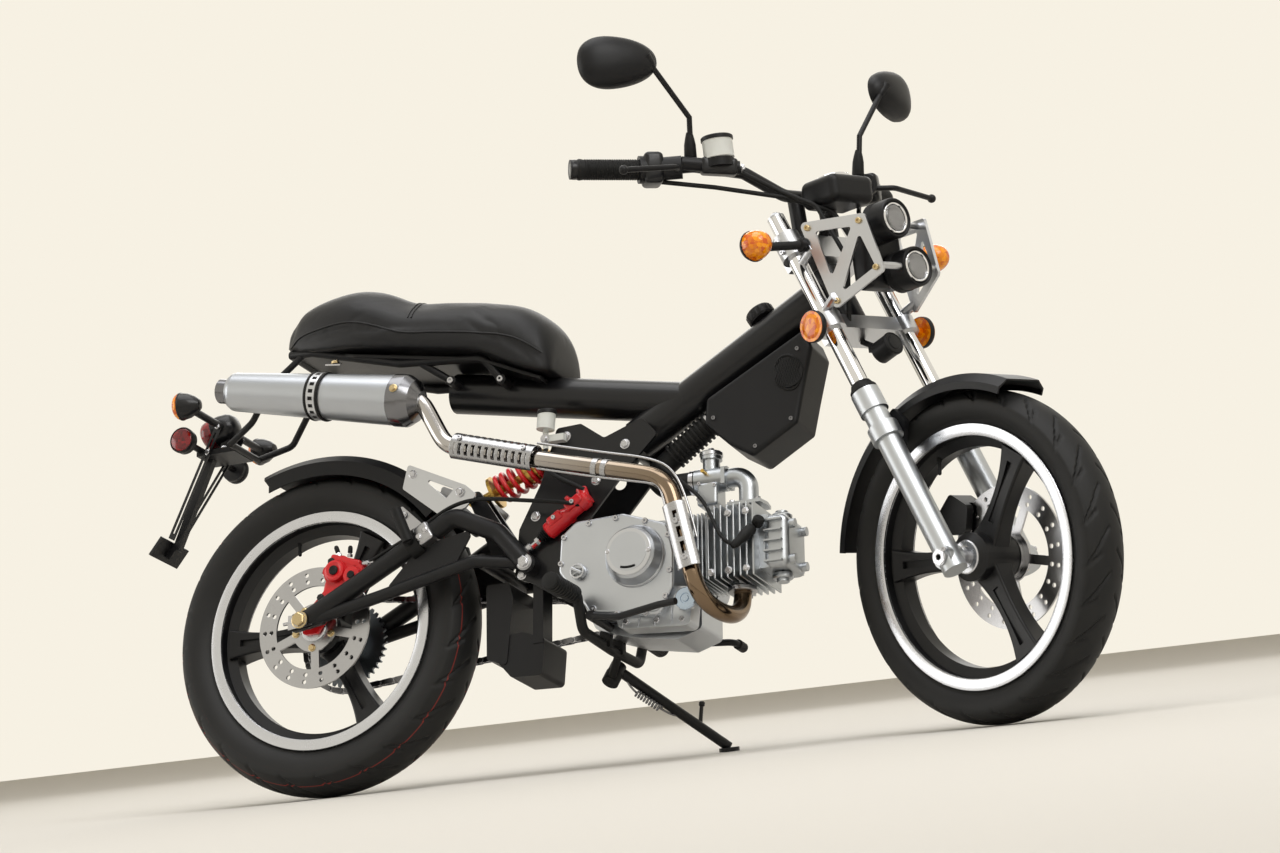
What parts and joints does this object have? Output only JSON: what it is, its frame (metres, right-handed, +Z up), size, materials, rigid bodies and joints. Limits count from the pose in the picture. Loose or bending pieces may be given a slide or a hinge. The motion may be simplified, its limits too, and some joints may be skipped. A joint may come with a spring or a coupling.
{
  "type": "moped",
  "caption": "Light moped with fuel-tube frame, open horizontal engine, raised exhaust and stacked lamps, parked leaning on its side stand.",
  "frame": {"origin": "centre of the ground under the parked machine's box", "axes": "+X forward along the parked machine, +Y to its left, the side it leans to, +Z up"},
  "size_m": [1.8382, 0.8298, 1.2326],
  "materials": {
    "black_paint": "gloss black lacquer",
    "black_satin": "satin black powder coat",
    "vinyl": "grained black vinyl",
    "satin_steel": "satin brushed can",
    "chrome": "polished chrome, tinted brown by heat near the engine",
    "engine_silver": "silver engine paint",
    "raw_aluminium": "cast aluminium",
    "bright_aluminium": "bright satin aluminium",
    "black_plastic": "moulded black plastic",
    "black_rubber": "matt black rubber",
    "red_paint": "bright red lacquer",
    "yellow_zinc": "yellow passivated metal",
    "white_plastic": "translucent white plastic",
    "zinc_steel": "zinc plated steel",
    "disc_steel": "turned steel disc",
    "black_cast": "satin black on cast metal",
    "tyre": "black rubber tread",
    "amber_lens": "amber lens",
    "red_lens": "dark red lens"
  },
  "bodies": {
    "frame": {"main_frame": "black_paint", "seat_subframe": "black_satin", "seat": "vinyl", "tail_bracket": "black_satin", "tail_lamp": "red_lens", "rear_signals": "amber_lens", "muffler": "satin_steel", "exhaust_pipe": "chrome", "heat_shields": "chrome", "engine_case": "engine_silver", "cylinder_head": "raw_aluminium", "carburettor": "raw_aluminium", "airbox": "black_plastic", "intake_hose": "black_rubber", "battery_box": "black_plastic", "swingarm": "black_satin", "axle_bolts": "zinc_steel", "rear_fender": "black_plastic", "fender_bracket": "bright_aluminium", "shock_body": "yellow_zinc", "shock_spring": "red_paint", "rear_caliper": "red_paint", "rear_master_cylinder": "red_paint", "brake_reservoir": "white_plastic", "footrests": "black_rubber", "foot_levers": "black_satin", "chain": "zinc_steel", "fuel_cap": "black_plastic"},
    "front_end": {"triple_clamps": "bright_aluminium", "fork_tubes": "chrome", "fork_sliders": "bright_aluminium", "front_axle": "zinc_steel", "handlebar": "black_satin", "controls": "black_plastic", "mirrors": "black_plastic", "headlamp_bracket": "bright_aluminium", "headlamps": "black_plastic", "instrument": "black_plastic", "front_signals": "amber_lens", "front_fender": "black_plastic", "front_caliper": "black_cast", "horn": "black_plastic", "side_reflectors": "amber_lens", "cables": "black_rubber"},
    "front_wheel": {"front_tyre": "tyre", "front_wheel": "black_cast", "front_disc": "disc_steel"},
    "rear_wheel": {"rear_tyre": "tyre", "rear_wheel": "black_cast", "rear_disc": "disc_steel", "rear_sprocket": "zinc_steel"},
    "side_stand": {"side_stand": "black_satin"}
  },
  "joints": [
    {"name": "steering", "type": "hinge", "parent": "frame", "child": "front_end", "pos_m": [0.41306, -0.04411, 0.75282], "axis": [-0.4109, 0.2518, 0.8762], "range_deg": [0, 56.8]},
    {"name": "front_wheel_spin", "type": "hinge", "parent": "front_end", "child": "front_wheel", "pos_m": [0.66547, -0.1951, 0.27547], "axis": [0.4348, 0.8989, -0.0544], "continuous": true},
    {"name": "rear_wheel_spin", "type": "hinge", "parent": "frame", "child": "rear_wheel", "pos_m": [-0.56153, -0.17732, 0.28359], "axis": [0.0013, 0.9613, -0.2756], "continuous": true},
    {"name": "stand_fold", "type": "hinge", "parent": "frame", "child": "side_stand", "pos_m": [-0.04095, -0.12469, 0.16488], "axis": [0.2182, 0.6751, 0.7047], "range_deg": [0, 100]}
  ]
}
